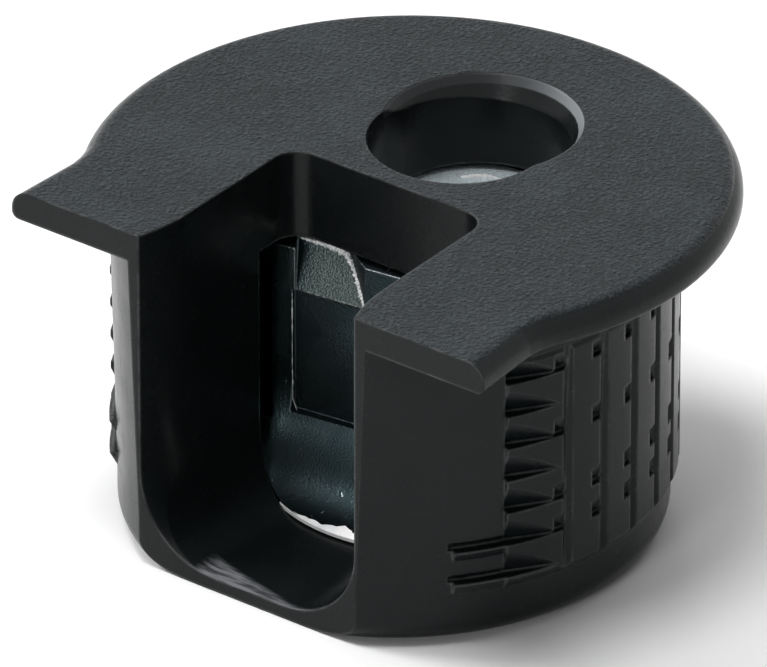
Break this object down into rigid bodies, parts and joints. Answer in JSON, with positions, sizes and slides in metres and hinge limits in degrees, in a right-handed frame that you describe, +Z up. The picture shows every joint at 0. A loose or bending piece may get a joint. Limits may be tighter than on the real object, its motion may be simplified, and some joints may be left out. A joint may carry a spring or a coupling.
{
  "type": "furniture cam lock fitting",
  "caption": "Round press-in shelf connector: a flanged, barbed plastic housing with an open bolt slot and a driver hole, holding a metal clamping cam that turns to pull a bolt's head tight.",
  "frame": {"origin": "on the barrel's axis, at its bottom face", "axes": "+Z up the barrel to the flange, -Y out of the flat front face with the open bolt slot, +X across the wings"},
  "size_m": [0.0234, 0.0213, 0.0133],
  "materials": {
    "housing": "fine-grained charcoal black moulding",
    "clamping_cam": "die-cast zinc alloy, plain, with bright edges"
  },
  "bodies": {
    "housing": {"housing": "housing"},
    "cam": {"clamping_cam": "clamping_cam"}
  },
  "joints": [
    {"name": "cam_turn", "type": "hinge", "parent": "housing", "child": "cam", "pos_m": [0, 0.0024, 0], "axis": [0, 0, -1], "range_deg": [0, 180]}
  ]
}
